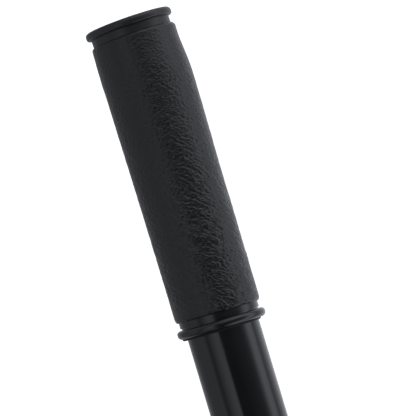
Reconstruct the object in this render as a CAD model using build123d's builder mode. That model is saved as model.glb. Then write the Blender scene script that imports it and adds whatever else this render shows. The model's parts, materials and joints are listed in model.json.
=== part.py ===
from build123d import *
import math
import os

# Door security bar: a telescoping steel tube with a padded hand grip at one end and a
# tilting rubber-soled foot at the other.  A clamp below the grip carries a tilting fork
# that hooks under a door handle.  The bar is stored lying on its side along +X, telescoped
# shut, with the door side towards +Y.  The origin is the centre of the foot's sole.

os.makedirs("parts", exist_ok=True)

# ---------------------------------------------------------------- driving dimensions (mm)
tube_r = 32.0 / 2           # outer tube
tube_wall = 1.5
inner_r = 25.0 / 2          # lower tube
inner_wall = 1.5
run_fit = 0.06              # radial clearance of a sliding or turning fit
seat_gap = 0.04             # radial clearance between parts fixed together
through = 200.0             # longer than any piece is wide, for cuts that go right through

half_width = 34.0           # foot and clamp are equally wide, so the bar lies level

stop_pitch = 25.0           # spacing of the length stops
stop_count = 13
button_x = 505.0            # snap button with the bar telescoped shut

outer_mouth = 168.0         # open end of the outer tube
outer_length = 760.0
lower_start = 52.0          # foot end of the lower tube
lower_length = 508.0

foot_pivot_x = 30.0
clamp_x = 690.0             # middle of the yoke clamp
clamp_length = 50.0
arm_reach = 84.0            # bar axis to fork pivot

grip_lip_x = 797.8          # lower edge of the grip
seal_length = 0.8
low_flange_length = 3.85
low_neck_length = 3.25
sleeve_length = 124.6
cap_neck_length = 3.5
cap_flange_length = 3.6
low_flange_r = 19.7
low_neck_r = 17.65
cap_neck_r = 17.55
cap_flange_r = 19.35
core_r = 17.2               # grip core under the padding
foam_r = 18.0               # outside of the foam layer
cap_cant = 2.5              # the cap is pressed on slightly askew, in degrees
cap_shift = 1.0             # and slightly off the bar's axis, towards the door side

bolt_r = 4.0                # M8 pivot bolts
screw_r = 2.5               # M5 clamp screws

# ---------------------------------------------------------------- positions worked out
tube_bore = tube_r - tube_wall
inner_bore = inner_r - inner_wall
outer_end = outer_mouth + outer_length
lower_end = lower_start + lower_length
low_flange_x = grip_lip_x + seal_length
low_neck_x = low_flange_x + low_flange_length
sleeve_x = low_neck_x + low_neck_length
sleeve_end = sleeve_x + sleeve_length
cap_tilt = math.radians(cap_cant)
cap_axis_dir = (math.cos(cap_tilt), math.sin(cap_tilt), 0)


def save(part, name):
    """Name a finished piece and write its STEP file."""
    part.label = name
    export_step(part, f"parts/{name}.step")


def door_facing(y):
    """Plane at a given y, with local x and y along the bar's X and Z, and normal -Y."""
    return Plane(origin=(0, y, 0), x_dir=(1, 0, 0), z_dir=(0, -1, 0))


# ================================================================ outer tube
stop_hole_r = 4.6
first_stop = button_x - (stop_count - 1) * stop_pitch
with BuildPart() as outer_tube:
    with BuildSketch(Plane.YZ.offset(outer_mouth)):
        Circle(tube_r)
        Circle(tube_bore, mode=Mode.SUBTRACT)
    extrude(amount=outer_length)
    # one row of stop holes along the top
    with BuildSketch(Plane.XY.offset(tube_bore / 2)):
        with Locations([(first_stop + i * stop_pitch, 0) for i in range(stop_count)]):
            Circle(stop_hole_r)
    extrude(amount=tube_r, mode=Mode.SUBTRACT)
save(outer_tube.part, "outer_tube")

# the bushing that the lower tube slides through
bushing_rim = 5.0
bushing_rim_step = 1.2
bushing_depth = 23.0
with BuildPart() as mouth_bushing:
    with BuildSketch(Plane.YZ.offset(outer_mouth)):
        Circle(tube_bore - seat_gap)
    extrude(amount=bushing_depth)
    with BuildSketch(Plane.YZ.offset(outer_mouth - bushing_rim)):
        Circle(tube_r + bushing_rim_step)
    extrude(amount=bushing_rim)
    fillet(mouth_bushing.edges().group_by(Axis.X)[0], radius=1.8)
    with BuildSketch(Plane.YZ.offset(outer_mouth - bushing_rim)):
        Circle(inner_r + run_fit)
    extrude(amount=through, mode=Mode.SUBTRACT)
save(mouth_bushing.part, "mouth_bushing")

# ================================================================ hand grip
# soft ring that closes the lower end of the grip, seated a little towards the door side
seal_top_r = 17.7
seal_low_r = 17.3
seal_shift = 0.5
with BuildPart() as grip_seal:
    with BuildSketch(Plane.YZ.offset(grip_lip_x)):
        with Locations((seal_shift, 0)):
            Circle(seal_low_r)
    with BuildSketch(Plane.YZ.offset(low_flange_x)):
        with Locations((seal_shift, 0)):
            Circle(seal_top_r)
    loft()
    with BuildSketch(Plane.YZ.offset(grip_lip_x)):
        Circle(tube_r + seat_gap)
    extrude(amount=seal_length, mode=Mode.SUBTRACT)
    chamfer(grip_seal.edges().group_by(Axis.X)[0].sort_by(SortBy.LENGTH)[-1], length=0.25)
save(grip_seal.part, "grip_seal")

# hard core that slides over the tube: rolled flange, neck and the barrel under the pad
low_bead = 1.9                      # rounding of the flange's lower edge
high_bead = 1.6                     # rounding of its upper edge
undercut_width = 0.7                # fine groove where the neck meets the flange
undercut_r = low_neck_r - 0.6
core_inset = 1.2                    # the core stops this far short of the sleeve's top
core_end = sleeve_end - core_inset
with BuildPart() as grip_core:
    with BuildSketch(Plane.XY):
        with BuildLine():
            Line((low_flange_x, tube_r + seat_gap), (low_flange_x, low_flange_r - low_bead))
            CenterArc((low_flange_x + low_bead, low_flange_r - low_bead), low_bead, 180, -90)
            Line((low_flange_x + low_bead, low_flange_r), (low_neck_x - high_bead, low_flange_r))
            CenterArc((low_neck_x - high_bead, low_flange_r - high_bead), high_bead, 90, -90)
            Polyline(
                (low_neck_x, low_flange_r - high_bead),
                (low_neck_x, undercut_r),
                (low_neck_x + undercut_width, undercut_r),
                (low_neck_x + undercut_width, low_neck_r),
                (sleeve_x, low_neck_r),
                (sleeve_x, core_r),
                (core_end, core_r),
                (core_end, tube_r + seat_gap),
                (low_flange_x, tube_r + seat_gap),
            )
        make_face()
    revolve(axis=Axis.X)
save(grip_core.part, "grip_core")

# foam layer between core and sleeve
foam_inset = 1.2
with BuildPart() as grip_foam:
    with BuildSketch(Plane.YZ.offset(sleeve_x + foam_inset)):
        Circle(foam_r)
        Circle(core_r, mode=Mode.SUBTRACT)
    extrude(amount=sleeve_length - 2 * foam_inset)
save(grip_foam.part, "grip_foam")

# leather-grained sleeve: fattest a little below its top, straighter towards the bar
sleeve_low_r = 18.95
sleeve_waist_r = 19.06
sleeve_middle_r = 19.2
sleeve_max_r = 19.6
sleeve_top_r = 18.7
waist_at = 46.0                     # distances above the sleeve's lower end
middle_at = 70.0
bulge_start = 33.0                  # distances below its upper end
bulge_top = 17.0
corner = 1.8                        # how far the sleeve's lower end is rounded
arc_along = 0.3                     # a quarter-round's middle, as fractions of its two legs
arc_up = 0.62
top_reach = 1.0                     # the sleeve runs on past its top before the slanted cut
low_drop = sleeve_low_r - foam_r
with BuildPart() as grip_sleeve:
    with BuildSketch(Plane.XY):
        with BuildLine():
            Spline(
                (sleeve_x + corner, sleeve_low_r),
                (sleeve_x + waist_at, sleeve_waist_r),
                (sleeve_x + middle_at, sleeve_middle_r),
                (sleeve_end - bulge_start, sleeve_max_r - 0.1),
                (sleeve_end - bulge_top, sleeve_max_r),
                (sleeve_end + top_reach, sleeve_top_r),
            )
            Polyline(
                (sleeve_end + top_reach, sleeve_top_r),
                (sleeve_end + top_reach, foam_r),
                (sleeve_x, foam_r),
            )
            low_curve = (sleeve_x + arc_along * corner, foam_r + arc_up * low_drop)
            ThreePointArc((sleeve_x, foam_r), low_curve, (sleeve_x + corner, sleeve_low_r))
        make_face()
    revolve(axis=Axis.X)
    split(bisect_by=Plane(origin=(sleeve_end, 0, 0), z_dir=cap_axis_dir), keep=Keep.BOTTOM)
save(grip_sleeve.part, "grip_sleeve")

# plug that closes the tube and holds the cap's stem
stem_r = 7.0
plug_length = 30.0
plug_start = outer_end - plug_length
with BuildPart() as cap_plug:
    with BuildSketch(Plane.YZ.offset(plug_start)):
        Circle(tube_bore - seat_gap)
        Circle(stem_r + seat_gap, mode=Mode.SUBTRACT)
    extrude(amount=plug_length)
    chamfer(cap_plug.edges().group_by(Axis.X)[0], length=0.8)
save(cap_plug.part, "cap_plug")

# closed end cap: stem, neck and rolled flange with a slightly domed face
cap_base_x = sleeve_end + seat_gap
cap_centre = (cap_base_x, cap_shift, 0)
cap_plane = Plane(origin=cap_centre, x_dir=cap_axis_dir, z_dir=(0, 0, 1))
under_bead = 1.1                    # rounding below and above the flange
top_bead = 1.6
face_crown = 0.1
flange_top = cap_neck_length + cap_flange_length
rim_x = flange_top - face_crown
rim_r = cap_flange_r - top_bead
dome_r = (rim_r**2 + face_crown**2) / (2 * face_crown)
dome_angle = math.degrees(math.asin(rim_r / dome_r))
hub_start = outer_end + 0.3         # round hub that fills the gap above the tube's end
hub_end = cap_base_x + 1.4
stem_start = plug_start + 4.0
with BuildPart() as grip_cap:
    with BuildSketch(cap_plane):
        with BuildLine():
            Polyline(
                (0, 0),
                (0, cap_neck_r),
                (cap_neck_length, cap_neck_r),
                (cap_neck_length, cap_flange_r - under_bead),
            )
            CenterArc((cap_neck_length + under_bead, cap_flange_r - under_bead), under_bead, 180, -90)
            Line((cap_neck_length + under_bead, cap_flange_r), (rim_x - top_bead, cap_flange_r))
            CenterArc((rim_x - top_bead, cap_flange_r - top_bead), top_bead, 90, -90)
            CenterArc((flange_top - dome_r, 0), dome_r, dome_angle, -dome_angle)
            Line((flange_top, 0), (0, 0))
        make_face()
    revolve(axis=Axis(origin=cap_centre, direction=cap_axis_dir))
    with BuildSketch(Plane.YZ.offset(hub_start)):
        Circle(tube_r - 0.8)
    extrude(amount=hub_end - hub_start)
    with BuildSketch(Plane.YZ.offset(stem_start)):
        Circle(stem_r)
    extrude(amount=hub_end - stem_start)
save(grip_cap.part, "grip_cap")

# ================================================================ yoke clamp and arm
clamp_start = clamp_x - clamp_length / 2
clamp_end = clamp_x + clamp_length / 2
liner_r = tube_r + 1.2
liner_show = 1.0                    # the liner stands out of the clamp at each end
clamp_ring_r = 22.5
split_gap = 1.5                     # between the two halves of the clamp
ear_thickness = 8.0
ear_corner = 6.0
screw_z = 27.5
screw_dx = 15.0
screw_fit = 0.25
cheek_in = 9.6
cheek_out = 15.6
cheek_root = 18.0                   # where the cheeks start to narrow
cheek_foot = 6.0                    # how deep they start in the ring
eye_r = 10.5
web_start = 18.0
web_end = 60.0
web_width = 8.0
window_y = 42.0                     # lightening windows in the cheeks
window_dx = 11.0
window_length = 16.0
window_width = 7.0

# rubber liner that keeps the clamp from creeping or scratching the tube
with BuildPart() as clamp_liner:
    with BuildSketch(Plane.YZ.offset(clamp_start - liner_show)):
        Circle(liner_r)
        Circle(tube_r + seat_gap, mode=Mode.SUBTRACT)
    extrude(amount=clamp_length + 2 * liner_show)
save(clamp_liner.part, "clamp_liner")

screw_spots = [(clamp_x + sx * screw_dx, sz * screw_z) for sx in (-1, 1) for sz in (-1, 1)]


def clamp_half(side):
    """Half ring with two ears; side is +1 for the door side, -1 for the other."""
    with BuildPart() as half:
        with BuildSketch(Plane.YZ.offset(clamp_start)):
            Circle(clamp_ring_r)
            with Locations((side * ear_thickness / 2, 0)):
                Rectangle(ear_thickness, 2 * half_width)
            with Locations((side * (split_gap / 2 - clamp_ring_r), 0)):
                Rectangle(2 * clamp_ring_r, 4 * half_width, mode=Mode.SUBTRACT)
        extrude(amount=clamp_length)
        fillet(half.edges().filter_by(Axis.Y).group_by(Axis.Z)[0], radius=ear_corner)
        fillet(half.edges().filter_by(Axis.Y).group_by(Axis.Z)[-1], radius=ear_corner)
    return half.part


rear_ring = clamp_half(-1)
front_ring = clamp_half(1)

with BuildPart() as yoke_clamp_rear:
    add(rear_ring)
    with BuildSketch(Plane.YZ.offset(clamp_start)):
        Circle(liner_r + seat_gap)
    extrude(amount=clamp_length, mode=Mode.SUBTRACT)
    with BuildSketch(door_facing(0)):
        with Locations(screw_spots):
            Circle(screw_r + screw_fit)
    extrude(amount=through, mode=Mode.SUBTRACT)
save(yoke_clamp_rear.part, "yoke_clamp_rear")

with BuildPart() as yoke_clamp_front:
    add(front_ring)
    # two cheeks that run out to the pivot, joined by a web
    with BuildSketch(Plane.XY.offset(cheek_in)):
        with BuildLine():
            Polyline(
                (clamp_x - eye_r, arm_reach),
                (clamp_start, cheek_root),
                (clamp_start, cheek_foot),
                (clamp_end, cheek_foot),
                (clamp_end, cheek_root),
                (clamp_x + eye_r, arm_reach),
            )
            RadiusArc((clamp_x + eye_r, arm_reach), (clamp_x - eye_r, arm_reach), -eye_r)
        make_face()
    extrude(amount=cheek_out - cheek_in)
    mirror(about=Plane.XY)
    with BuildSketch(Plane.XY.offset(-cheek_in)):
        with Locations((clamp_x, (web_start + web_end) / 2)):
            Rectangle(web_width, web_end - web_start)
    extrude(amount=2 * cheek_in)
    # bore for the tube and its liner, screw holes, pivot holes, lightening windows
    with BuildSketch(Plane.YZ.offset(clamp_start)):
        Circle(liner_r + seat_gap)
    extrude(amount=clamp_length, mode=Mode.SUBTRACT)
    with BuildSketch(door_facing(0)):
        with Locations(screw_spots):
            Circle(screw_r + screw_fit)
    extrude(amount=-ear_thickness - 1.0, mode=Mode.SUBTRACT)
    with BuildSketch(Plane.XY.offset(-half_width)):
        with Locations((clamp_x, arm_reach)):
            Circle(bolt_r + seat_gap)
        with Locations((clamp_x - window_dx, window_y), (clamp_x + window_dx, window_y)):
            SlotOverall(window_length, window_width, rotation=90)
    extrude(amount=2 * half_width, mode=Mode.SUBTRACT)
save(yoke_clamp_front.part, "yoke_clamp_front")

# screws enter from the back, nuts sit on the door side
head_r = 4.25
head_height = 5.0
key_r = 2.0
key_depth = 2.5
nut_r = 4.0
nut_height = 4.0
screw_stick_out = 2.0
with BuildPart() as clamp_screws:
    with BuildSketch(door_facing(-ear_thickness)):
        with Locations(screw_spots):
            Circle(head_r)
    extrude(amount=head_height)
    fillet(clamp_screws.edges().group_by(Axis.Y)[0], radius=0.6)
    with BuildSketch(door_facing(-ear_thickness - head_height)):
        with Locations(screw_spots):
            RegularPolygon(key_r, 6, major_radius=False)
    extrude(amount=-key_depth, mode=Mode.SUBTRACT)
    with BuildSketch(door_facing(-ear_thickness)):
        with Locations(screw_spots):
            Circle(screw_r)
    extrude(amount=-(2 * ear_thickness + nut_height + screw_stick_out))
save(clamp_screws.part, "clamp_screws")

with BuildPart() as clamp_nuts:
    with BuildSketch(door_facing(ear_thickness)):
        with Locations(screw_spots):
            RegularPolygon(nut_r, 6, major_radius=False)
            Circle(screw_r + seat_gap, mode=Mode.SUBTRACT)
    extrude(amount=-nut_height)
save(clamp_nuts.part, "clamp_nuts")

# ================================================================ pivot hardware
hex_r = 6.5                         # half the width across flats
bolt_head_height = 5.3
bolt_tail = 9.0                     # shank beyond the stack, for the nut
lock_nut_height = 5.5
lock_collar_r = 5.9
lock_collar_height = 2.3
washer_r = 8.0
washer_fit = 0.2
washer_thickness = 1.6
bush_wall = 1.2
bush_seat_r = bolt_r + run_fit + bush_wall + seat_gap


def pivot_bolt(x, y, grip, name):
    """Hex bolt along +Z: head on top, shank through a stack of half-thickness grip."""
    with BuildPart() as bolt:
        with BuildSketch(Plane.XY.offset(grip)):
            with Locations((x, y)):
                RegularPolygon(hex_r, 6, major_radius=False)
        extrude(amount=bolt_head_height)
        with BuildSketch(Plane.XY.offset(-grip - bolt_tail)):
            with Locations((x, y)):
                Circle(bolt_r)
        extrude(amount=2 * grip + bolt_tail + bolt_head_height / 2)
        chamfer(bolt.edges().group_by(Axis.Z)[0], length=0.8)
    save(bolt.part, name)


def pivot_nut(x, y, grip, name):
    """Self-locking hex nut below the stack, with a round collar at its free end."""
    with BuildPart() as nut:
        with BuildSketch(Plane.XY.offset(-grip)):
            with Locations((x, y)):
                RegularPolygon(hex_r, 6, major_radius=False)
        extrude(amount=-lock_nut_height)
        with BuildSketch(Plane.XY.offset(-grip - lock_nut_height)):
            with Locations((x, y)):
                Circle(lock_collar_r)
        extrude(amount=-lock_collar_height)
        fillet(nut.edges().group_by(Axis.Z)[0], radius=0.8)
        with BuildSketch(Plane.XY.offset(-grip)):
            with Locations((x, y)):
                Circle(bolt_r + seat_gap)
        extrude(amount=-through, mode=Mode.SUBTRACT)
    save(nut.part, name)


def pivot_washers(x, y, face_z, name):
    """A flat washer against each outer face of the stack."""
    with BuildPart() as washers:
        for low_z in (face_z, -face_z - washer_thickness):
            with BuildSketch(Plane.XY.offset(low_z)):
                with Locations((x, y)):
                    Circle(washer_r)
                    Circle(bolt_r + washer_fit, mode=Mode.SUBTRACT)
            extrude(amount=washer_thickness)
    save(washers.part, name)


def pivot_bush(x, y, half_length, name):
    """Plastic bush that turns on the bolt."""
    with BuildPart() as bush:
        with BuildSketch(Plane.XY.offset(-half_length)):
            with Locations((x, y)):
                Circle(bolt_r + run_fit + bush_wall)
                Circle(bolt_r + run_fit, mode=Mode.SUBTRACT)
        extrude(amount=2 * half_length)
    save(bush.part, name)


pivot_bolt(clamp_x, arm_reach, cheek_out + washer_thickness, "yoke_pivot_bolt")
pivot_nut(clamp_x, arm_reach, cheek_out + washer_thickness, "yoke_pivot_nut")
pivot_washers(clamp_x, arm_reach, cheek_out, "yoke_pivot_washers")

# ================================================================ tilting fork
hub_r = 10.0
hub_half = cheek_in - 0.3
fork_back = arm_reach + 12.0
fork_thickness = 8.0
fork_front = fork_back + fork_thickness
fork_half = half_width - 1.0
fork_corner = 7.4
notch_r = 18.0
notch_x = clamp_x + 26.0            # centre of the notch's round bottom
tine_end = clamp_x + 58.0
fork_low_x = clamp_x - 14.0
pad_x = clamp_x - 3.0               # stiffening pads and door pads
stiffener_z = 24.0
stiffener_length = 13.6
stiffener_width = 11.0
stiffener_height = 3.0
neck_x = clamp_x - 2.5
neck_length = 13.0
neck_root = 1.0                     # how far the neck runs into the fork
notch_through = 20.0                # how far the notch's cut runs past the tines

with BuildPart() as yoke_fork:
    with BuildSketch(door_facing(fork_back)):
        with Locations(((fork_low_x + tine_end) / 2, 0)):
            RectangleRounded(tine_end - fork_low_x, 2 * fork_half, fork_corner)
        with Locations((notch_x, 0)):
            Circle(notch_r, mode=Mode.SUBTRACT)
        with Locations(((notch_x + tine_end + notch_through) / 2, 0)):
            Rectangle(tine_end + notch_through - notch_x, 2 * notch_r, mode=Mode.SUBTRACT)
    extrude(amount=-fork_thickness)
    fillet(yoke_fork.faces().sort_by(Axis.Y)[-1].edges(), radius=1.5)
    # raised stiffening pads on the back of the fork, outside the cheeks
    with BuildSketch(door_facing(fork_back)):
        with Locations((pad_x, stiffener_z), (pad_x, -stiffener_z)):
            RectangleRounded(stiffener_length, stiffener_width, 3.0)
    extrude(amount=stiffener_height)
    # neck and hub that sit between the cheeks
    with BuildSketch(Plane.XY.offset(-hub_half)):
        with Locations((clamp_x, arm_reach)):
            Circle(hub_r)
        with Locations((neck_x, (arm_reach + fork_back + neck_root) / 2)):
            Rectangle(neck_length, fork_back + neck_root - arm_reach)
    extrude(amount=2 * hub_half)
    with BuildSketch(Plane.XY.offset(-half_width)):
        with Locations((clamp_x, arm_reach)):
            Circle(bush_seat_r)
    extrude(amount=2 * half_width, mode=Mode.SUBTRACT)
save(yoke_fork.part, "yoke_fork")
pivot_bush(clamp_x, arm_reach, hub_half, "yoke_pivot_bush")

# rubber channel that lines the notch and folds over both faces of the fork
liner_thickness = 2.5
lip_over = 3.0
face_lip = 1.2
liner_end = tine_end - 8.0
liner_in_r = notch_r - liner_thickness


def notch_band(low_y, high_y, outer):
    """U-shaped band round the notch, from the liner's inside out to a radius."""
    with BuildPart() as band:
        with BuildSketch(door_facing(low_y)):
            with Locations((notch_x, 0)):
                Circle(outer)
            with Locations(((notch_x + liner_end) / 2, 0)):
                Rectangle(liner_end - notch_x, 2 * outer)
            with Locations((notch_x, 0)):
                Circle(liner_in_r, mode=Mode.SUBTRACT)
            with Locations(((notch_x + tine_end + notch_through) / 2, 0)):
                Rectangle(tine_end + notch_through - notch_x, 2 * liner_in_r, mode=Mode.SUBTRACT)
            with Locations((liner_end + notch_through, 0)):
                Rectangle(2 * notch_through, 4 * outer, mode=Mode.SUBTRACT)
        extrude(amount=-(high_y - low_y))
    return band.part


liner_web = notch_band(fork_back - face_lip, fork_front + face_lip, notch_r)
back_lip = notch_band(fork_back - face_lip, fork_back, notch_r + lip_over)
front_lip = notch_band(fork_front, fork_front + face_lip, notch_r + lip_over)
with BuildPart() as fork_liner:
    add(liner_web)
    add(back_lip)
    add(front_lip)
save(fork_liner.part, "fork_liner")

# two rubber buttons that meet the door's face
pad_z = 23.0
pad_r = 7.0
pad_height = 3.2
with BuildPart() as door_pads:
    with BuildSketch(door_facing(fork_front)):
        with Locations((pad_x, -pad_z), (pad_x, pad_z)):
            Circle(pad_r)
    extrude(amount=-pad_height)
    fillet(door_pads.edges().group_by(Axis.Y)[-1], radius=1.4)
save(door_pads.part, "door_pads")

# ================================================================ lower tube
button_r = 4.2
pin_x = 76.0
pin_r = 2.5
with BuildPart() as lower_tube:
    with BuildSketch(Plane.YZ.offset(lower_start)):
        Circle(inner_r)
        Circle(inner_bore, mode=Mode.SUBTRACT)
    extrude(amount=lower_length)
    with BuildSketch(Plane.XY.offset(inner_bore / 2)):
        with Locations((button_x, 0)):
            Circle(button_r + run_fit)
    extrude(amount=inner_r, mode=Mode.SUBTRACT)
    with BuildSketch(Plane.XZ.offset(-inner_r - 1.0)):
        with Locations((pin_x, 0)):
            Circle(pin_r + seat_gap)
    extrude(amount=through, mode=Mode.SUBTRACT)
save(lower_tube.part, "lower_tube")

# guide on the hidden end of the lower tube, running in the outer tube's bore
guide_plug = 12.0                   # part inside the lower tube
guide_head = 6.0                    # part beyond its end
guide_bore = 7.5
with BuildPart() as guide_bushing:
    with BuildSketch(Plane.YZ.offset(lower_end)):
        Circle(tube_bore - run_fit)
    extrude(amount=guide_head)
    with BuildSketch(Plane.YZ.offset(lower_end - guide_plug)):
        Circle(inner_bore - seat_gap)
    extrude(amount=guide_plug)
    chamfer(guide_bushing.edges().group_by(Axis.X)[-1], length=0.8)
    with BuildSketch(Plane.YZ.offset(lower_end - guide_plug)):
        Circle(guide_bore)
    extrude(amount=through, mode=Mode.SUBTRACT)
save(guide_bushing.part, "guide_bushing")

# snap button: domed stem with a flange that stops it inside the tube
button_top = tube_r + 1.7
button_base = 5.0
button_flange_r = 6.0
button_flange_height = 2.0
with BuildPart() as snap_button:
    with BuildSketch(Plane.XY.offset(button_base)):
        with Locations((button_x, 0)):
            Circle(button_flange_r)
    extrude(amount=button_flange_height)
    with BuildSketch(Plane.XY.offset(button_base)):
        with Locations((button_x, 0)):
            Circle(button_r)
    extrude(amount=button_top - button_base)
    fillet(snap_button.edges().group_by(Axis.Z)[-1], radius=2.4)
save(snap_button.part, "snap_button")

# bent leaf spring under the button: a sloping arm and a foot along the tube's wall
spring_width = 7.0
spring_thickness = 0.7
spring_top = button_base - spring_thickness / 2
spring_low = -8.6
spring_bend_x = button_x - 38.0
arm_tip_x = button_x + 5.0
arm_knee_x = button_x - 6.0
foot_tip_x = button_x + 9.0
with BuildPart() as button_spring:
    with BuildSketch(Plane.XZ.offset(-spring_width / 2)):
        with BuildLine():
            FilletPolyline(
                (arm_tip_x, spring_top),
                (arm_knee_x, spring_top),
                (spring_bend_x, spring_low + 1.5),
                (spring_bend_x + 1.0, spring_low),
                (foot_tip_x, spring_low),
                radius=0.5,
            )
            offset(amount=spring_thickness / 2, kind=Kind.ARC)
        make_face()
    extrude(amount=spring_width)
save(button_spring.part, "button_spring")

# ================================================================ foot
tang_half = 8.0
tang_eye_r = 11.0
tang_root = 2.0                     # how far the tang runs into the collar
collar_r = 15.5
collar_start = 44.0
stem_end = pin_x + 14.0
with BuildPart() as foot_stem:
    with BuildSketch(Plane.YZ.offset(collar_start)):
        Circle(inner_bore - seat_gap)
    extrude(amount=stem_end - collar_start)
    chamfer(foot_stem.edges().group_by(Axis.X)[-1], length=1.0)
    with BuildSketch(Plane.YZ.offset(collar_start)):
        Circle(collar_r)
    extrude(amount=lower_start - collar_start)
    fillet(foot_stem.edges().group_by(Axis.X)[0], radius=1.5)
    with BuildSketch(Plane.XY.offset(-tang_half)):
        with Locations((foot_pivot_x, 0)):
            Circle(tang_eye_r)
        with Locations(((foot_pivot_x + collar_start + tang_root) / 2, 0)):
            Rectangle(collar_start + tang_root - foot_pivot_x, 2 * tang_eye_r)
    extrude(amount=2 * tang_half)
    with BuildSketch(Plane.XY.offset(-half_width)):
        with Locations((foot_pivot_x, 0)):
            Circle(bush_seat_r)
    extrude(amount=2 * half_width, mode=Mode.SUBTRACT)
    with BuildSketch(Plane.XZ.offset(-collar_r - 1.0)):
        with Locations((pin_x, 0)):
            Circle(pin_r + seat_gap)
    extrude(amount=through, mode=Mode.SUBTRACT)
save(foot_stem.part, "foot_stem")
pivot_bush(foot_pivot_x, 0.0, tang_half, "foot_pivot_bush")

pin_half = inner_r + 0.4
with BuildPart() as stem_pin:
    with BuildSketch(Plane.XZ.offset(-pin_half)):
        with Locations((pin_x, 0)):
            Circle(pin_r)
    extrude(amount=2 * pin_half)
save(stem_pin.part, "stem_pin")

# shoe: base plate with two ears that carry the pivot bolt
sole_front = 9.0                    # sole thickness under the shoe
plate_thickness = 7.0
plate_corner = 13.0
shoe_half_y = 34.0
shoe_half_z = half_width - 3.0
ear_in = tang_half + 0.3
ear_out = 14.3
ear_root_half = 21.0
ear_foot_x = sole_front + plate_thickness - 2.0
shoe_eye_r = 12.0
gusset_rise = 7.0
gusset_width = 5.0
gusset_reach = 11.0
with BuildPart() as foot_shoe:
    with BuildSketch(Plane.YZ.offset(sole_front)):
        RectangleRounded(2 * shoe_half_y, 2 * shoe_half_z, plate_corner)
    extrude(amount=plate_thickness)
    fillet(foot_shoe.faces().sort_by(Axis.X)[-1].edges(), radius=3.0)
    with BuildSketch(Plane.XY.offset(ear_in)):
        with BuildLine():
            Polyline(
                (foot_pivot_x, -shoe_eye_r),
                (ear_foot_x, -ear_root_half),
                (ear_foot_x, ear_root_half),
                (foot_pivot_x, shoe_eye_r),
            )
            RadiusArc((foot_pivot_x, shoe_eye_r), (foot_pivot_x, -shoe_eye_r), shoe_eye_r)
        make_face()
    extrude(amount=ear_out - ear_in)
    mirror(about=Plane.XY)
    # gussets from the ears out to the edge of the plate
    with BuildSketch(Plane.XY.offset(ear_out)):
        with Locations((ear_foot_x + gusset_rise / 2, 0)):
            Rectangle(gusset_rise, gusset_width)
    extrude(amount=gusset_reach)
    mirror(about=Plane.XY)
    with BuildSketch(Plane.XY.offset(-half_width)):
        with Locations((foot_pivot_x, 0)):
            Circle(bolt_r + seat_gap)
    extrude(amount=2 * half_width, mode=Mode.SUBTRACT)
save(foot_shoe.part, "foot_shoe")

# rubber sole: a tray that grips the shoe's edge, with a grooved tread
sole_half_y = shoe_half_y + 3.0
sole_corner = 16.0
tray_lip = 4.0
groove_width = 2.4
groove_cut = 2.2
tread_margin = 4.0                  # the grooves stop this far inside the sole's edge
tread_y = (-27.0, -18.0, -9.0, 9.0, 18.0, 27.0)
tread_z = (-22.0, -11.0, 11.0, 22.0)
with BuildPart() as foot_sole:
    with BuildSketch(Plane.YZ):
        RectangleRounded(2 * sole_half_y, 2 * half_width, sole_corner)
    extrude(amount=sole_front + tray_lip)
    fillet(foot_sole.edges().group_by(Axis.X)[-1], radius=1.2)
    with BuildSketch(Plane.YZ.offset(sole_front)):
        RectangleRounded(2 * shoe_half_y, 2 * shoe_half_z, plate_corner)
    extrude(amount=tray_lip, mode=Mode.SUBTRACT)
    with BuildSketch(Plane.YZ):
        with Locations([(dy, 0) for dy in tread_y]):
            Rectangle(groove_width, 2 * (half_width - tread_margin))
        with Locations([(0, dz) for dz in tread_z]):
            Rectangle(2 * (sole_half_y - tread_margin), groove_width)
    extrude(amount=groove_cut, mode=Mode.SUBTRACT)
save(foot_sole.part, "foot_sole")

pivot_bolt(foot_pivot_x, 0.0, ear_out + washer_thickness, "foot_pivot_bolt")
pivot_nut(foot_pivot_x, 0.0, ear_out + washer_thickness, "foot_pivot_nut")
pivot_washers(foot_pivot_x, 0.0, ear_out, "foot_pivot_washers")
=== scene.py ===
import json
import math

import bmesh
import bpy
import numpy as np
from mathutils import Matrix, Vector, noise


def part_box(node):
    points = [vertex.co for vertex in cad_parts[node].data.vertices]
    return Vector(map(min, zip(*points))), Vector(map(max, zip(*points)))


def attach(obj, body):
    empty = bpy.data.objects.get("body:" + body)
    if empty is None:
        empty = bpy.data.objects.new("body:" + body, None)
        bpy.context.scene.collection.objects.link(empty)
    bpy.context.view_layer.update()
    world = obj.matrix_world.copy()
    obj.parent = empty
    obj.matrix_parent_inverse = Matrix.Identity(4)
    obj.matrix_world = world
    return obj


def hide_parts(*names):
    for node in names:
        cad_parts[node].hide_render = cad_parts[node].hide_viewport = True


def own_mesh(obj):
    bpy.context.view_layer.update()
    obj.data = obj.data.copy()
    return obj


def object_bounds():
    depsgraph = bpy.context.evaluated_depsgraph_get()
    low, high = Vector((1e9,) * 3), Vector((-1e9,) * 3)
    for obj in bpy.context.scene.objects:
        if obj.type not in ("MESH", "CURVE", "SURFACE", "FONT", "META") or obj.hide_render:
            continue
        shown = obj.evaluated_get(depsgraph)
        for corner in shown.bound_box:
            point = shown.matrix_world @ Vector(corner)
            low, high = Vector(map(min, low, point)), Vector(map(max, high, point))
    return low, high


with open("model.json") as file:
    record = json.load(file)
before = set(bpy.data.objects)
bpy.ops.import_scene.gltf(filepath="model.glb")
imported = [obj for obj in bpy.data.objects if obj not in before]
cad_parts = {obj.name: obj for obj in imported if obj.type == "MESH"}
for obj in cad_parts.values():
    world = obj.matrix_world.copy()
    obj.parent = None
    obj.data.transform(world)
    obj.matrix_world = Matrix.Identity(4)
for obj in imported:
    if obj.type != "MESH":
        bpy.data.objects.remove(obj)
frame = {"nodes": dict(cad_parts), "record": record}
cad_low, cad_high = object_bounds()
nodes = frame["nodes"]

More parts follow.
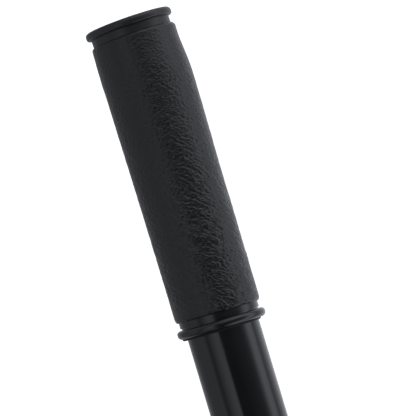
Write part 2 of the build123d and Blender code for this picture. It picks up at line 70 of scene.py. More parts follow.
# ================================================================ places read from the frame
# The bar lies along X, with its foot at the origin.  +Y points to the door and +Z is up.
grip_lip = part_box("grip_seal")[0].x         # the grip's lower end
cap_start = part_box("grip_cap")[0].x
sleeve_low, sleeve_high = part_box("grip_sleeve")
floor_z = cad_low.z


# ================================================================ camera
# It looks down on the grip end of the bar, which lies on its side.  The bar's upper end leans
# to the left of the picture.
PICTURE = 416                               # pixels along each side of the picture
METRES_PER_PIXEL = 0.0004307
LEAN = math.radians(16.75)
CAMERA_HEIGHT = 1.40
AIM_ABOVE_LIP = 0.05205                     # the picture's centre, up the bar from the grip's lip
AIM_ACROSS = -0.00879
STANDS_ABOVE_LIP = 0.0237                   # where the camera is square to the bar
NEAREST_SEEN = 0.05
FURTHEST_SEEN = 100.0


def make_camera():
    data = bpy.data.cameras.new("camera")
    data.sensor_width = 36.0
    data.lens = data.sensor_width * CAMERA_HEIGHT / (PICTURE * METRES_PER_PIXEL)
    data.clip_start = NEAREST_SEEN
    data.clip_end = FURTHEST_SEEN
    camera = bpy.data.objects.new("camera", data)
    bpy.context.scene.collection.objects.link(camera)
    bpy.context.scene.camera = camera
    aim = Vector((grip_lip + AIM_ABOVE_LIP, AIM_ACROSS, 0))
    place = Vector((grip_lip + STANDS_ABOVE_LIP, AIM_ACROSS, CAMERA_HEIGHT))
    back = (place - aim).normalized()
    leaning_up = Vector((math.cos(LEAN), -math.sin(LEAN), 0))
    right = leaning_up.cross(back).normalized()
    up = back.cross(right)
    turn = Matrix((right, up, back)).transposed()
    camera.matrix_world = Matrix.Translation(place) @ turn.to_4x4()


make_camera()


# ================================================================ node helpers
# Each takes a node tree and sockets.  All but link add a node and return its output.
def link(tree, start, end):
    tree.links.new(start, end)


def math_node(tree, operation, a, b=None):
    node = tree.nodes.new("ShaderNodeMath")
    node.operation = operation
    for socket, value in zip(node.inputs, (a, b)):
        if value is None:
            continue
        if isinstance(value, (int, float)):
            socket.default_value = value
        else:
            link(tree, value, socket)
    return node.outputs[0]


def plus(tree, a, b):
    return math_node(tree, "ADD", a, b)


def minus(tree, a, b):
    return math_node(tree, "SUBTRACT", a, b)


def times(tree, a, b):
    return math_node(tree, "MULTIPLY", a, b)


def split(tree, vector):
    """The vector's x, y and z."""
    node = tree.nodes.new("ShaderNodeSeparateXYZ")
    link(tree, vector, node.inputs[0])
    return node.outputs["X"], node.outputs["Y"], node.outputs["Z"]


def spread(tree, value, between, to=(0.0, 1.0), smooth=False):
    """Map a value from one range to another, clamped."""
    node = tree.nodes.new("ShaderNodeMapRange")
    node.interpolation_type = "SMOOTHSTEP" if smooth else "LINEAR"
    limits = ("From Min", "From Max", "To Min", "To Max")
    for name, number in zip(limits, (*between, *to)):
        node.inputs[name].default_value = number
    link(tree, value, node.inputs["Value"])
    return node.outputs[0]


def mix_colors(tree, factor, a, b):
    """Mix two colours, each of them a tuple or a socket."""
    node = tree.nodes.new("ShaderNodeMix")
    node.data_type = "RGBA"
    sockets = {socket.name: socket for socket in node.inputs if socket.enabled}
    for name, value in (("Factor", factor), ("A", a), ("B", b)):
        if isinstance(value, tuple):
            sockets[name].default_value = (*value, 1.0)
        else:
            link(tree, value, sockets[name])
    return [socket for socket in node.outputs if socket.enabled][0]


def ramp(tree, factor, stops):
    """Color ramp with (place, colour) stops."""
    node = tree.nodes.new("ShaderNodeValToRGB")
    elements = node.color_ramp.elements
    while len(elements) < len(stops):
        elements.new(0.5)
    for element, (place, color) in zip(elements, stops):
        element.position = place
        element.color = (*color, 1.0)
    link(tree, factor, node.inputs[0])
    return node.outputs[0]


# ================================================================ stage: floor and light
# How bright the studio is, by the angle round the bar in degrees: 0 is straight up and 90 is the
# side away from the door.  A soft light stands up on the door side, and a broad one stands low on
# the other side.
STUDIO = [
    (-90, 0.46), (-79, 0.50), (-70, 0.54), (-64, 0.33), (-57, 0.25), (-50, 0.44), (-42, 0.62),
    (-34, 0.80), (-22, 0.90), (-19.2, 0.78), (-14.2, 0.08), (10, 0.085), (22, 0.12), (42, 0.17),
    (56, 0.24), (64, 0.42), (72, 0.90), (78, 1.36), (84, 1.45), (90, 1.30),
]
# The same past the ends of those lights, which stop sooner towards the grip than the foot.
GRIP_END = [
    (-90, 0.50), (-30, 0.45), (-10, 0.62), (12, 0.70), (30, 1.05), (60, 1.30), (90, 1.55),
]
FOOT_END = [
    (-90, 0.50), (-30, 0.42), (-10, 0.04), (12, 0.04), (30, 0.60), (60, 1.30), (90, 1.55),
]
GRIP_FADE = (0.07, 0.42)                    # how far the direction points along the bar, up to 1
FOOT_FADE = (0.35, 0.85)
# What the floor throws back at the bar, by metres towards the door: brightest on the side away
# from the door, dim under the bar and on its door side.
FLOOR_GLOW = [
    (-0.50, 1.25), (-0.36, 1.05), (-0.235, 0.64), (-0.137, 0.50), (-0.088, 0.72), (-0.050, 0.95),
    (-0.015, 0.75), (0.01, 0.48), (0.043, 0.38), (0.076, 0.32), (0.142, 0.36), (0.50, 0.44),
]
FLOOR_SIZE = 60.0
FLOOR_WHITE = (0.95, 0.95, 0.95, 1.0)
FLOOR_OWN_LIGHT = (0.82, 0.82, 0.82, 1.0)   # keeps the shadows faint
BACKDROP = (1.0, 1.0, 1.0)
COOL = (0.968, 0.99, 1.06)                  # the lights are slightly blue


def cooled(grey):
    return tuple(grey * channel for channel in COOL)


def by_angle(lights):
    """Ramp stops from (angle, brightness) pairs."""
    return [((angle + 90) / 180, cooled(grey)) for angle, grey in lights]


def studio_light(tree, direction):
    """The light that comes from a direction."""
    x, y, z = split(tree, direction)
    angle = math_node(tree, "ARCTAN2", times(tree, y, -1.0), z)
    turn = plus(tree, math_node(tree, "DIVIDE", angle, math.pi), 0.5)
    light = ramp(tree, turn, by_angle(STUDIO))
    ends = ((x, GRIP_FADE, GRIP_END), (times(tree, x, -1.0), FOOT_FADE, FOOT_END))
    for along, fade_between, lights in ends:
        share = spread(tree, along, fade_between, smooth=True)
        light = mix_colors(tree, share, light, ramp(tree, turn, by_angle(lights)))
    return light


def make_world():
    """The studio's light on the bar, and a white backdrop for the camera."""
    world = bpy.data.worlds.new("studio")
    bpy.context.scene.world = world
    world.use_nodes = True
    tree = world.node_tree
    tree.nodes.clear()
    direction = tree.nodes.new("ShaderNodeTexCoord").outputs["Generated"]
    seen = tree.nodes.new("ShaderNodeLightPath").outputs["Is Camera Ray"]
    color = mix_colors(tree, seen, studio_light(tree, direction), BACKDROP)
    background = tree.nodes.new("ShaderNodeBackground")
    link(tree, color, background.inputs["Color"])
    output = tree.nodes.new("ShaderNodeOutputWorld")
    link(tree, background.outputs[0], output.inputs[0])


def floor_material():
    """White with a little light of its own for the camera.  The bar sees only FLOOR_GLOW."""
    material = bpy.data.materials.new("floor_white")
    material.use_nodes = True
    tree = material.node_tree
    tree.nodes.clear()
    towards_door = split(tree, tree.nodes.new("ShaderNodeTexCoord").outputs["Object"])[1]
    width = 2 * FLOOR_GLOW[-1][0]
    across = plus(tree, math_node(tree, "DIVIDE", towards_door, width), 0.5)
    stops = [(y / width + 0.5, cooled(grey)) for y, grey in FLOOR_GLOW]
    thrown_back = tree.nodes.new("ShaderNodeEmission")
    link(tree, ramp(tree, across, stops), thrown_back.inputs["Color"])
    white = tree.nodes.new("ShaderNodeBsdfDiffuse")
    white.inputs["Color"].default_value = FLOOR_WHITE
    glow = tree.nodes.new("ShaderNodeEmission")
    glow.inputs["Color"].default_value = FLOOR_OWN_LIGHT
    lit = tree.nodes.new("ShaderNodeAddShader")
    link(tree, white.outputs[0], lit.inputs[0])
    link(tree, glow.outputs[0], lit.inputs[1])
    seen = tree.nodes.new("ShaderNodeLightPath").outputs["Is Camera Ray"]
    choose = tree.nodes.new("ShaderNodeMixShader")
    link(tree, seen, choose.inputs[0])
    link(tree, thrown_back.outputs[0], choose.inputs[1])
    link(tree, lit.outputs[0], choose.inputs[2])
    output = tree.nodes.new("ShaderNodeOutputMaterial")
    link(tree, choose.outputs[0], output.inputs[0])
    return material


def make_floor():
    half = FLOOR_SIZE / 2
    square = ((-half, -half), (half, -half), (half, half), (-half, half))
    mesh = bpy.data.meshes.new("floor")
    mesh.from_pydata([(x, y, floor_z) for x, y in square], [], [(0, 1, 2, 3)])
    mesh.materials.append(floor_material())
    floor = bpy.data.objects.new("floor", mesh)
    bpy.context.scene.collection.objects.link(floor)


make_world()
make_floor()
bpy.context.scene.view_settings.view_transform = "Standard"


# ================================================================ patterns
# Every pattern is placed by the object's own coordinates, in metres, so it stays on its part.
def new_material(name, color, roughness, metallic=0.0):
    """A Principled material: returns (material, tree, its shader, object coordinates)."""
    material = bpy.data.materials.new(name)
    material.use_nodes = True
    material.diffuse_color = (*color, 1.0)
    tree = material.node_tree
    shader = tree.nodes["Principled BSDF"]
    shader.inputs["Base Color"].default_value = (*color, 1.0)
    shader.inputs["Roughness"].default_value = roughness
    shader.inputs["Metallic"].default_value = metallic
    place = tree.nodes.new("ShaderNodeTexCoord").outputs["Object"]
    return material, tree, shader, place


def scaled(tree, place, scale):
    """Coordinates scaled along each axis: below 1 draws a pattern out, above 1 squeezes it."""
    node = tree.nodes.new("ShaderNodeMapping")
    node.inputs["Scale"].default_value = scale
    link(tree, place, node.inputs["Vector"])
    return node.outputs[0]


def noise_node(tree, place, size, detail):
    node = tree.nodes.new("ShaderNodeTexNoise")
    node.inputs["Scale"].default_value = 1.0 / size
    node.inputs["Detail"].default_value = detail
    link(tree, place, node.inputs["Vector"])
    return node


def noise_tex(tree, place, size, detail, rough=0.55, warp=0.0):
    """Noise with features about size metres across."""
    node = noise_node(tree, place, size, detail)
    node.inputs["Roughness"].default_value = rough
    node.inputs["Distortion"].default_value = warp
    return node.outputs["Fac"]


def cells(tree, place, size, smoothness=0.0):
    """Distance from the middles of cells about size metres across, smoothed if asked."""
    node = tree.nodes.new("ShaderNodeTexVoronoi")
    node.inputs["Scale"].default_value = 1.0 / size
    if smoothness:
        node.feature = "SMOOTH_F1"
        node.inputs["Smoothness"].default_value = smoothness
    link(tree, place, node.inputs["Vector"])
    return node.outputs["Distance"]


def warped(tree, place, size, amount):
    """Coordinates pushed along each axis by 0 to amount, by noise of a given size."""
    shift = tree.nodes.new("ShaderNodeVectorMath")
    shift.operation = "MULTIPLY_ADD"
    shift.inputs[1].default_value = (amount,) * 3
    link(tree, noise_node(tree, place, size, detail=2.0).outputs["Color"], shift.inputs[0])
    link(tree, place, shift.inputs[2])
    return shift.outputs[0]


def wound(tree, place, per_metre):
    """Coordinates wound round the bar, so that a pattern's lengthwise streaks become helices."""
    node = tree.nodes.new("ShaderNodeVectorRotate")
    node.rotation_type = "X_AXIS"
    link(tree, place, node.inputs["Vector"])
    link(tree, times(tree, split(tree, place)[0], per_metre), node.inputs["Angle"])
    return node.outputs[0]


RIDGE_WIDTH = 0.22                          # how far from its middle the noise still counts


def ridged(tree, value):
    """Turn smooth noise into sharp ridges: 1 where it crosses its middle value."""
    off = math_node(tree, "ABSOLUTE", minus(tree, value, 0.5))
    return spread(tree, off, (0.0, RIDGE_WIDTH), (1.0, 0.0))


def soft_edges(tree, radius):
    """The surface's normal with its edges rounded."""
    node = tree.nodes.new("ShaderNodeBevel")
    node.samples = 4
    node.inputs["Radius"].default_value = radius
    return node.outputs[0]


FLAT = 0.985                                # cosine between the rounded and the true normal
SHARP = 0.86


def edge_mask(tree, radius):
    """1 on sharp edges, 0 on flats."""
    true_normal = tree.nodes.new("ShaderNodeNewGeometry").outputs["Normal"]
    dot = tree.nodes.new("ShaderNodeVectorMath")
    dot.operation = "DOT_PRODUCT"
    link(tree, soft_edges(tree, radius), dot.inputs[0])
    link(tree, true_normal, dot.inputs[1])
    return spread(tree, dot.outputs["Value"], (FLAT, SHARP))


def bump(tree, shader, height, depth, over=None):
    """Raise the surface by height (0..1) times depth metres, over another normal if given."""
    node = tree.nodes.new("ShaderNodeBump")
    node.inputs["Distance"].default_value = depth
    node.inputs["Strength"].default_value = 1.0
    link(tree, height, node.inputs["Height"])
    if over is not None:
        link(tree, over, node.inputs["Normal"])
    link(tree, node.outputs[0], shader.inputs["Normal"])


# ================================================================ materials
# Most noise stays between these two values, so they are what roughness is spread from.
NOISE_RANGE = (0.3, 0.7)
BLACK = (0.0050, 0.0052, 0.0056)


def black_tube():
    """Gloss black enamel over steel: a trace of orange peel, fine rubbed streaks and dust."""
    dark, light = (0.0045, 0.0047, 0.0050), (0.0062, 0.0064, 0.0068)
    dusty = (0.030, 0.030, 0.030)
    material, tree, shader, place = new_material("tube_enamel", BLACK, 0.12)
    streaks = noise_tex(tree, scaled(tree, place, (0.05, 1, 1)), size=0.0009, detail=4.0)
    cloud = noise_tex(tree, place, size=0.035, detail=3.0)
    wear = times(tree, spread(tree, streaks, (0.42, 0.75)), spread(tree, cloud, (0.4, 0.7)))
    link(tree, spread(tree, wear, (0.0, 1.0), (0.105, 0.24)), shader.inputs["Roughness"])
    dust = spread(tree, noise_tex(tree, place, size=0.0011, detail=1.0), (0.70, 0.80))
    enamel = mix_colors(tree, cloud, dark, light)
    tint = mix_colors(tree, times(tree, dust, 0.35), enamel, dusty)
    link(tree, tint, shader.inputs["Base Color"])
    peel = noise_tex(tree, scaled(tree, place, (0.6, 1, 1)), size=0.0032, detail=2.0)
    bump(tree, shader, peel, depth=0.000012)
    return material


def grip_plastic():
    """Black moulded plastic: satin on the cap, glossier on the grip's lower neck and flange."""
    dark, light = (0.0040, 0.0041, 0.0045), (0.0065, 0.0067, 0.0072)
    change = 0.001                          # metres over which gloss turns to satin
    material, tree, shader, place = new_material("grip_moulding", BLACK, 0.4)
    satin = spread(tree, split(tree, place)[0], (cap_start, cap_start + change))
    cloud = noise_tex(tree, place, size=0.012, detail=4.0)
    on_neck = spread(tree, cloud, NOISE_RANGE, (0.15, 0.24))
    on_cap = spread(tree, cloud, NOISE_RANGE, (0.36, 0.44))
    rough = plus(tree, times(tree, on_cap, satin), times(tree, on_neck, minus(tree, 1.0, satin)))
    link(tree, rough, shader.inputs["Roughness"])
    link(tree, mix_colors(tree, cloud, dark, light), shader.inputs["Base Color"])
    bump(tree, shader, noise_tex(tree, place, size=0.0007, detail=2.0), depth=0.00003)
    return material


# The sleeve's leather.  Its two families of creases wind round the bar, one each way.
SLEEVE_RADIUS = 0.019
HELIX = 1.0 / SLEEVE_RADIUS                 # turn per metre that leans a streak at 45 degrees
CROSSING = -0.4 * HELIX
GRAIN_DEPTH = 0.0006
# In metres below the sleeve's top: where the creases grow to their full strength, and where the
# grain fades towards the cap.
CREASES_GROW = (0.030, 0.075)
FADES_TO_CAP = (0.020, 0.010)


def below_top(tree, along, depths, to=(0.0, 1.0)):
    """Spread a value between two depths below the sleeve's top."""
    return spread(tree, along, [sleeve_high.x - depth for depth in depths], to)


def pebbles(tree, place):
    """Height of the pebbled grain: cells with a finer grain over them."""
    bent = scaled(tree, warped(tree, place, size=0.0032, amount=0.0018), (1.5, 1, 1))
    stones = cells(tree, bent, size=0.0017, smoothness=0.3)
    fine = noise_tex(tree, bent, size=0.0013, detail=1.0, rough=0.5)
    return minus(tree, fine, times(tree, stones, 0.6))


def creases(tree, place, bent):
    """Height of the creases: two families of ridges that cross."""
    leaning = scaled(tree, wound(tree, bent, HELIX), (0.5, 1, 1))
    main = ridged(tree, noise_tex(tree, leaning, size=0.0024, detail=1.0, rough=0.45))
    bent_again = warped(tree, place, size=0.004, amount=0.004)
    crossing = scaled(tree, wound(tree, bent_again, CROSSING), (0.7, 1, 1))
    cross = ridged(tree, noise_tex(tree, crossing, size=0.0034, detail=1.0, rough=0.4))
    return plus(tree, times(tree, main, 0.42), times(tree, cross, 0.20))


def leather_grain(tree, place, bent, along, low_down):
    """Height of the whole grain, from pebbles near the cap to creases lower down."""
    pebbled = times(tree, pebbles(tree, place), spread(tree, low_down, (0.0, 1.0), (0.62, 0.40)))
    patches = spread(tree, noise_tex(tree, place, size=0.012, detail=2.0), (0.35, 0.6), (0.6, 1.0))
    strength = times(tree, spread(tree, low_down, (0.0, 1.0), (0.3, 1.0)), patches)
    creased = times(tree, creases(tree, place, bent), strength)
    pores = noise_tex(tree, place, size=0.00055, detail=1.0)
    height = plus(tree, plus(tree, pebbled, creased), times(tree, pores, 0.10))
    return times(tree, height, below_top(tree, along, FADES_TO_CAP, (1.0, 0.5)))


def leather():
    """Charcoal leather cloth: pebbled grain near the cap, leaning creases lower down, and a
    painted highlight on the grain's raised tops.
    """
    dark, light = (0.0024, 0.0025, 0.0029), (0.0040, 0.0042, 0.0048)
    # painted highlight colour for the raised tops of the grain
    grain_top_highlight = (0.0065, 0.0068, 0.0078)
    material, tree, shader, place = new_material("grip_leather", (0.0048, 0.0050, 0.0056), 0.40)
    shader.inputs["Specular IOR Level"].default_value = 0.49
    bent = warped(tree, place, size=0.005, amount=0.004)
    along = split(tree, bent)[0]
    low_down = below_top(tree, along, CREASES_GROW)
    height = leather_grain(tree, place, bent, along, low_down)
    tops = spread(tree, height, (0.0, 0.8))
    cloud = noise_tex(tree, place, size=0.011, detail=4.0)
    body = mix_colors(tree, cloud, dark, light)
    # Painted highlight: the grain's raised tops are mixed halfway towards a lighter colour, as if
    # light caught them.
    color = mix_colors(tree, times(tree, tops, 0.5), body, grain_top_highlight)
    link(tree, color, shader.inputs["Base Color"])
    wear = plus(tree, times(tree, tops, 0.6), cloud)
    worn = spread(tree, wear, (0.3, 1.2), (0.42, 0.32))
    handled = spread(tree, low_down, (0.0, 1.0), (1.0, 0.9))
    link(tree, times(tree, worn, handled), shader.inputs["Roughness"])
    bump(tree, shader, height, GRAIN_DEPTH)
    return material


def rubber():
    """Matt black rubber with a faint bloom and moulding grain."""
    dark, light = (0.0060, 0.0060, 0.0064), (0.0125, 0.0125, 0.0125)
    rubbed = (0.032, 0.032, 0.032)
    material, tree, shader, place = new_material("rubber", (0.008, 0.008, 0.0084), 0.72)
    shader.inputs["Specular IOR Level"].default_value = 0.25
    cloud = noise_tex(tree, place, size=0.009, detail=5.0, rough=0.6)
    body = mix_colors(tree, cloud, dark, light)
    edges = times(tree, edge_mask(tree, radius=0.0007), 0.35)
    link(tree, mix_colors(tree, edges, body, rubbed), shader.inputs["Base Color"])
    link(tree, spread(tree, cloud, NOISE_RANGE, (0.62, 0.82)), shader.inputs["Roughness"])
    grain = noise_tex(tree, place, size=0.0005, detail=3.0)
    bump(tree, shader, grain, depth=0.00004, over=soft_edges(tree, radius=0.0006))
    return material


def coated_casting():
    """Satin black powder coat on castings: sandy texture, edges rubbed a little brighter."""
    dark, light = (0.0090, 0.0092, 0.0098), (0.0150, 0.0152, 0.0160)
    bare_metal = (0.16, 0.155, 0.15)
    material, tree, shader, place = new_material("cast_powder_coat", (0.012, 0.0123, 0.013), 0.42)
    cloud = noise_tex(tree, place, size=0.018, detail=4.0)
    chips = spread(tree, noise_tex(tree, place, size=0.0028, detail=4.0, rough=0.7), (0.5, 0.66))
    worn = times(tree, edge_mask(tree, radius=0.0006), chips)
    body = mix_colors(tree, cloud, dark, light)
    link(tree, mix_colors(tree, worn, body, bare_metal), shader.inputs["Base Color"])
    link(tree, times(tree, worn, 0.8), shader.inputs["Metallic"])
    link(tree, spread(tree, cloud, NOISE_RANGE, (0.36, 0.50)), shader.inputs["Roughness"])
    sand = noise_tex(tree, place, size=0.00055, detail=2.0, rough=0.5)
    bump(tree, shader, sand, depth=0.00005, over=soft_edges(tree, radius=0.0005))
    return material


def zinc_steel():
    """Zinc-plated fasteners: cool grey with faint straw and blue patches and handling marks."""
    bluish, straw = (0.50, 0.51, 0.54), (0.62, 0.60, 0.54)
    material, tree, shader, place = new_material("zinc_plate", (0.56, 0.56, 0.55), 0.33, 1.0)
    patch = noise_tex(tree, place, size=0.006, detail=3.0)
    marks = noise_tex(tree, scaled(tree, place, (1, 1, 0.15)), size=0.0007, detail=4.0)
    link(tree, mix_colors(tree, patch, bluish, straw), shader.inputs["Base Color"])
    link(tree, spread(tree, marks, NOISE_RANGE, (0.24, 0.44)), shader.inputs["Roughness"])
    bump(tree, shader, marks, depth=0.000015, over=soft_edges(tree, radius=0.0003))
    return material


def spring_steel():
    """Blued spring steel with rolling streaks along it."""
    blued, bare = (0.24, 0.26, 0.32), (0.40, 0.40, 0.42)
    material, tree, shader, place = new_material("blued_spring", (0.30, 0.31, 0.36), 0.35, 1.0)
    streaks = noise_tex(tree, scaled(tree, place, (0.1, 1, 1)), size=0.0008, detail=3.0)
    link(tree, mix_colors(tree, streaks, blued, bare), shader.inputs["Base Color"])
    link(tree, spread(tree, streaks, NOISE_RANGE, (0.25, 0.45)), shader.inputs["Roughness"])
    return material


def nylon(name, dark, light):
    """Moulded nylon with a faint flow pattern."""
    material, tree, shader, place = new_material(name, light, 0.5)
    drawn_out = scaled(tree, place, (0.4, 1, 1))
    flow = noise_tex(tree, drawn_out, size=0.004, detail=4.0, rough=0.6, warp=0.4)
    link(tree, mix_colors(tree, flow, dark, light), shader.inputs["Base Color"])
    link(tree, spread(tree, flow, NOISE_RANGE, (0.42, 0.58)), shader.inputs["Roughness"])
    grain = noise_tex(tree, place, size=0.0004, detail=2.0)
    bump(tree, shader, grain, depth=0.000015, over=soft_edges(tree, radius=0.0004))
    return material


def foam():
    """Black closed-cell foam, hidden under the sleeve."""
    dark, light = (0.018, 0.018, 0.018), (0.05, 0.05, 0.05)
    material, tree, shader, place = new_material("closed_cell_foam", (0.03, 0.03, 0.03), 0.9)
    bubbles = cells(tree, place, size=0.0009)
    link(tree, mix_colors(tree, bubbles, dark, light), shader.inputs["Base Color"])
    bump(tree, shader, bubbles, depth=0.0002)
    return material


finishes = {
    "tube_black": black_tube(),
    "grip_plastic": grip_plastic(),
    "grip_leather": leather(),
    "rubber_black": rubber(),
    "cast_black": coated_casting(),
    "zinc_steel": zinc_steel(),
    "spring_steel": spring_steel(),
    "nylon_black": nylon("nylon_black", (0.011, 0.011, 0.0115), (0.019, 0.019, 0.0195)),
    "nylon_white": nylon("nylon_natural", (0.52, 0.50, 0.44), (0.70, 0.68, 0.61)),
    "foam": foam(),
}


def finish_nodes():
    """Give every CAD node the material of its slot."""
    for row in frame["record"]["subparts"]:
        mesh = nodes[row["node"]].data
        mesh.materials.clear()
        mesh.materials.append(finishes[row["material_slot"]])


finish_nodes()


# ================================================================ grip sleeve
# Leather cloth pulled over foam.  Its outline is fullest a little below the cap, and its top
# end is pulled towards the door side with the cap.
SLEEVE_TURNS = 288                          # points round the sleeve
SLEEVE_ROWS = 316                           # rings of points along its outside
END_ROWS = 8                                # rings round each rolled end
MM_PER_METRE = 1000
OUTLINE = [                                 # (mm below the sleeve's top, radius in mm)
    (0.0, 18.62), (1.6, 18.70), (7.7, 19.03), (17.1, 19.58), (24.0, 19.58), (33.5, 19.46),
    (55.0, 19.18), (76.6, 19.06), (98.0, 18.98), (124.6, 18.97),
]
OUTLINE_SPAN = (-0.01, 0.14)                # metres below the top, past both ends of the outline
OUTLINE_STEP = 0.0001
BLEND = 0.004                               # how softly the outline's points are joined

CANT = math.radians(2.5)                    # the sleeve's top and the cap lean to the door side
TOP_SHIFT = 0.0009                          # and sit this far off the bar's axis
SHIFT_REACH = 0.026                         # how far down the sleeve both die away

TOP_ROLL = 0.0013                           # how far the rolled ends reach along the bar
LOW_ROLL = 0.0022
EDGE_RADIUS = 0.01785                       # where the rolled ends tuck in
EDGE_INSET = 0.0007                         # and how far in from the end they keep that radius
FOAM_RADIUS = 0.01803                       # the sleeve's inside, along the foam
FOAM_INSET = 0.0011
TUCKED_RADIUS = 0.0173                      # how close to the axis the top edge may tuck in
FOAM_COVER = 0.01812                        # the leather stays outside this radius over the foam

# The sleeve's relief: how many waves of noise a metre holds, and how high they stand in metres.
SWELLS_PER_METRE = 38.0
SWELL_HEIGHT = 0.00012
LUMPS_PER_METRE = 260.0
LUMP_HEIGHT = 0.00007
CREASES_PER_METRE = 300.0
CREASE_HEIGHT = 0.00014
STRAYS_PER_METRE = 180.0
CREASE_STRAY = 0.0016                       # how far a crease strays from its line
PATCHES_PER_METRE = 95.0
LUMPS_START = Vector((7, 3, 1))             # so that these noises differ from the others
PATCHES_START = Vector((2, 9, 4))
CREASE_STRETCH = 0.4                        # drawn out along the crease
CREASE_FLANK = 0.3                          # how far from zero the noise still makes a crease
LEAST_CREASED = 0.1                         # the share of the creases left near the cap
CREASED_FROM = 0.02                         # metres below the top
CREASED_OVER = 0.06
LEAST_PATCH = 0.3                           # the share of the creases left between patches
PATCH_CONTRAST = 0.9
END_RELIEF = 0.3                            # the share of the relief left on the rolled ends
RELIEF_FADE = 0.004                         # metres from there to the full relief
NOISE_SEED = 5                              # without a seed, noise_vector differs on each run


def smooth_outline(depths):
    """Outline radius at each depth below the top, with the listed points blended."""
    fine = np.arange(*OUTLINE_SPAN, OUTLINE_STEP)
    listed_depths = [depth for depth, radius in OUTLINE]
    listed_radii = [radius for depth, radius in OUTLINE]
    radius = np.interp(fine * MM_PER_METRE, listed_depths, listed_radii) / MM_PER_METRE
    half = int(BLEND / OUTLINE_STEP)
    window = np.hanning(2 * half + 1)
    radius = np.convolve(np.pad(radius, half, mode="edge"), window / window.sum(), mode="valid")
    return np.interp(depths, fine, radius)


def fade(value):
    """Smooth step from 0 to 1."""
    value = min(1.0, max(0.0, value))
    return value * value * (3 - 2 * value)


def ridge(place):
    """Sharp-crested noise from 0 to 1, which is 0 further than CREASE_FLANK from zero."""
    return max(0.0, 1.0 - abs(noise.noise(place)) / CREASE_FLANK)


def crease_height(point, depth):
    """Height of the creases, which lean as leather cloth creases on being pulled round a bar."""
    low_down = LEAST_CREASED + (1 - LEAST_CREASED) * fade((depth - CREASED_FROM) / CREASED_OVER)
    bent = point + noise.noise_vector(point * STRAYS_PER_METRE) * CREASE_STRAY
    leaning = Matrix.Rotation(point.x * HELIX, 3, "X") @ bent
    drawn_out = Vector((leaning.x * CREASE_STRETCH, leaning.y, leaning.z))
    crease = ridge(drawn_out * CREASES_PER_METRE) ** 2
    patch = noise.noise(point * PATCHES_PER_METRE + PATCHES_START)
    patches = LEAST_PATCH + (1 - LEAST_PATCH) * fade(patch * PATCH_CONTRAST + 0.5)
    return crease * low_down * patches * CREASE_HEIGHT


def leather_relief(point, depth):
    """Height of the leather above its outline, in metres, at a point on the sleeve."""
    swell = noise.noise(point * SWELLS_PER_METRE) * SWELL_HEIGHT
    lumps = noise.noise(point * LUMPS_PER_METRE + LUMPS_START) * LUMP_HEIGHT
    return swell + lumps + crease_height(point, depth)


def rolled_end(radius, reach):
    """(depth, radius) down a rounded end, from where it tucks in to where it joins the outside."""
    rows = []
    for k in range(END_ROWS):
        turn = math.pi / 2 * k / END_ROWS
        bulge = (radius - EDGE_RADIUS) * math.sin(turn)
        rows.append((reach * (1 - math.cos(turn)), EDGE_RADIUS + bulge))
    return rows


def sleeve_rows(length):
    """(depth below the top, radius, how much relief) of each ring of points, all the way round."""
    depths = np.linspace(TOP_ROLL, length - LOW_ROLL, SLEEVE_ROWS)
    radii = smooth_outline(depths)
    top_end = rolled_end(radii[0], TOP_ROLL)
    low_end = rolled_end(radii[-1], LOW_ROLL)
    inside = [(EDGE_INSET, EDGE_RADIUS), (FOAM_INSET, FOAM_RADIUS)]
    rows = [(depth, radius, END_RELIEF) for depth, radius in top_end]
    for depth, radius in zip(depths, radii):
        from_end = min(depth - TOP_ROLL, length - LOW_ROLL - depth)
        relief = END_RELIEF + (1 - END_RELIEF) * fade(from_end / RELIEF_FADE)
        rows.append((depth, radius, relief))
    rows += [(length - depth, radius, END_RELIEF) for depth, radius in reversed(low_end)]
    rows += [(length - depth, radius, 0.0) for depth, radius in inside]
    rows += [(depth, radius, 0.0) for depth, radius in reversed(inside)]
    return rows


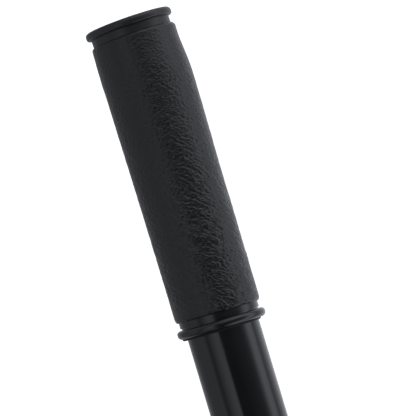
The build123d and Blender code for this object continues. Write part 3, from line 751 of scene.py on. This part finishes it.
def sleeve_point(top, angle, depth, radius, relief):
    """A point of the sleeve: on its outline, raised by the relief, and leaning near the top."""
    out = Vector((0, math.cos(angle), math.sin(angle)))
    point = Vector((top - depth, 0, 0)) + out * radius
    height = leather_relief(point, depth) * relief if relief else 0.0
    point += out * height
    near_top = 1.0 - fade(depth / SHIFT_REACH)
    point.x -= point.y * math.tan(CANT) * near_top
    point.y += TOP_SHIFT * near_top
    cover = TUCKED_RADIUS + (FOAM_COVER - TUCKED_RADIUS) * fade(depth / TOP_ROLL)
    from_axis = math.hypot(point.y, point.z)
    if relief and near_top and from_axis < cover + height / 2:
        point.yz = point.yz * ((cover + height / 2) / from_axis)
    return point


def tube_faces(rows, turns):
    """Faces of a ring-shaped surface whose last row of points joins its first."""
    faces = []
    for row in range(rows):
        here = row * turns
        there = (row + 1) % rows * turns
        for k in range(turns):
            after = (k + 1) % turns
            faces.append((here + k, here + after, there + after, there + k))
    return faces


def face_outwards(mesh):
    bm = bmesh.new()
    bm.from_mesh(mesh)
    bmesh.ops.recalc_face_normals(bm, faces=bm.faces)
    bm.to_mesh(mesh)
    bm.free()


def make_sleeve():
    """The leather sleeve, a closed skin with its outside, rolled ends and inside."""
    noise.seed_set(NOISE_SEED)
    top = sleeve_high.x - OUTLINE[0][1] / MM_PER_METRE * math.sin(CANT)
    rows = sleeve_rows(top - sleeve_low.x)
    angles = [2 * math.pi * k / SLEEVE_TURNS for k in range(SLEEVE_TURNS)]
    vertices = [sleeve_point(top, angle, *row) for row in rows for angle in angles]
    mesh = bpy.data.meshes.new("leather_sleeve")
    mesh.from_pydata(vertices, [], tube_faces(len(rows), SLEEVE_TURNS))
    mesh.polygons.foreach_set("use_smooth", [True] * len(mesh.polygons))
    mesh.materials.append(finishes["grip_leather"])
    face_outwards(mesh)
    sleeve = bpy.data.objects.new("leather_sleeve", mesh)
    bpy.context.scene.collection.objects.link(sleeve)
    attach(sleeve, "upper_tube")
    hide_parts("grip_sleeve")


make_sleeve()


def make_spring():
    """The leaf spring, which stays in the lower tube."""
    rigid = nodes["button_spring"]
    leaf = bpy.data.objects.new("leaf_spring", rigid.data.copy())
    bpy.context.scene.collection.objects.link(leaf)
    leaf.matrix_world = rigid.matrix_world.copy()
    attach(leaf, "lower_tube")
    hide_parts("button_spring")
    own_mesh(leaf)


make_spring()
